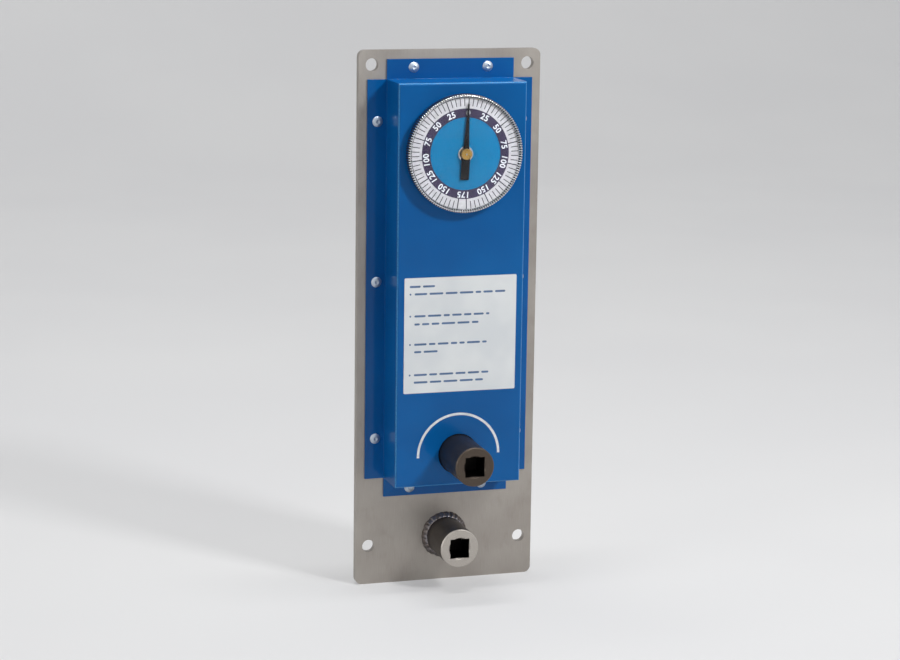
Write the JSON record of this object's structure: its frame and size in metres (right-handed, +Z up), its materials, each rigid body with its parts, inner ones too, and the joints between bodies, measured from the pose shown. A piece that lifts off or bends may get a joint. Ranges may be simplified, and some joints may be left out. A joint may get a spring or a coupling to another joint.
{
  "type": "torque tester",
  "caption": "Wall-mounted deflecting-beam torque tester: folded cover on a steel plate, square drive socket, zeroing dial with pointer, and a fixed square socket.",
  "frame": {"origin": "middle of the four wall bolt holes, on the back face of the plate", "axes": "+Z up the plate, +X to the right seen from the front, the dial and sockets face -Y and the wall is at +Y"},
  "size_m": [0.1206, 0.0698, 0.3493],
  "materials": {
    "plate_steel": "warm grey steel with a faint vertical brushing, lightly stained",
    "blue_paint": "smooth satin blue powder coat",
    "dark_oxide": "black oxide, brownish where it has worn, turned marks",
    "bare_socket": "turned steel with an oiled dark skirt and a bright faced end",
    "weld_steel": "rippled bead with a dark heat tint",
    "bright_screw": "bright plated button heads",
    "white_panel": "white satin label film with plain blue ruled marks",
    "frame_steel": "machined steel",
    "plated_steel": "zinc plated",
    "bronze": "oil-filled bronze",
    "movement_brass": "fine grained brass",
    "blued_spring": "blued spring steel",
    "beam_steel": "ground spring steel",
    "arm_aluminium": "satin sheet aluminium",
    "housing_black": "black anodised",
    "bezel_chrome": "bright plated, serrated rim",
    "crystal_clear": "clear domed crystal",
    "face_enamel": "teal centre, dark ring and white scale, plain numbers and ticks",
    "eyelet_silver": "bright ring",
    "pointer_black": "satin black",
    "hub_brass": "polished brass"
  },
  "bodies": {
    "root": {"back_plate": "plate_steel", "exercise_socket": "bare_socket", "exercise_weld": "weld_steel", "cover": "blue_paint", "cover_screws": "bright_screw", "instruction_panel": "white_panel", "bearing_bridge": "frame_steel", "bridge_screws": "plated_steel", "front_bushing": "bronze", "rear_bushing": "bronze", "thrust_washer": "plated_steel", "reaction_posts": "frame_steel", "post_screws": "plated_steel", "calibration_screws": "plated_steel", "lock_nuts": "plated_steel", "movement_standoffs": "movement_brass", "movement_base": "movement_brass", "movement_pillars": "movement_brass", "movement_bridge": "movement_brass", "standoff_screws": "plated_steel", "movement_screws": "plated_steel", "rear_pivot_bushing": "bronze", "front_pivot_bushing": "bronze", "hairspring_stud": "plated_steel", "hairspring": "blued_spring", "dial_housing": "housing_black", "housing_screws": "plated_steel", "bezel_snap_ring": "plated_steel"},
    "drive": {"drive_socket": "dark_oxide", "beam_hub": "beam_steel", "flex_beam": "beam_steel", "beam_pins": "plated_steel", "indicator_arm": "arm_aluminium", "arm_screws": "plated_steel", "sector": "movement_brass", "sector_screws": "plated_steel"},
    "pointer": {"pointer_shaft": "plated_steel", "pinion": "movement_brass", "hairspring_collet": "movement_brass", "pointer": "pointer_black", "pointer_hub": "hub_brass"},
    "bezel": {"bezel": "bezel_chrome", "crystal": "crystal_clear", "dial_face": "face_enamel", "dial_eyelet": "eyelet_silver"}
  },
  "joints": [
    {"name": "drive_turn", "type": "hinge", "parent": "root", "child": "drive", "pos_m": [0, 0, -0.09105], "axis": [0, 1, 0], "range_deg": [-3, 3], "stiffness_Nm_per_rad": 20, "deforming": ["flex_beam"]},
    {"name": "pointer_turn", "type": "hinge", "parent": "root", "child": "pointer", "pos_m": [0, 0, 0.10395], "axis": [0, 1, 0], "range_deg": [-181, 181], "deforming": ["hairspring"]},
    {"name": "bezel_zero", "type": "hinge", "parent": "root", "child": "bezel", "pos_m": [0, 0, 0.10395], "axis": [0, 1, 0], "continuous": true}
  ],
  "couplings": [
    {"joint": "pointer_turn", "follows": "drive_turn", "ratio": 60}
  ]
}
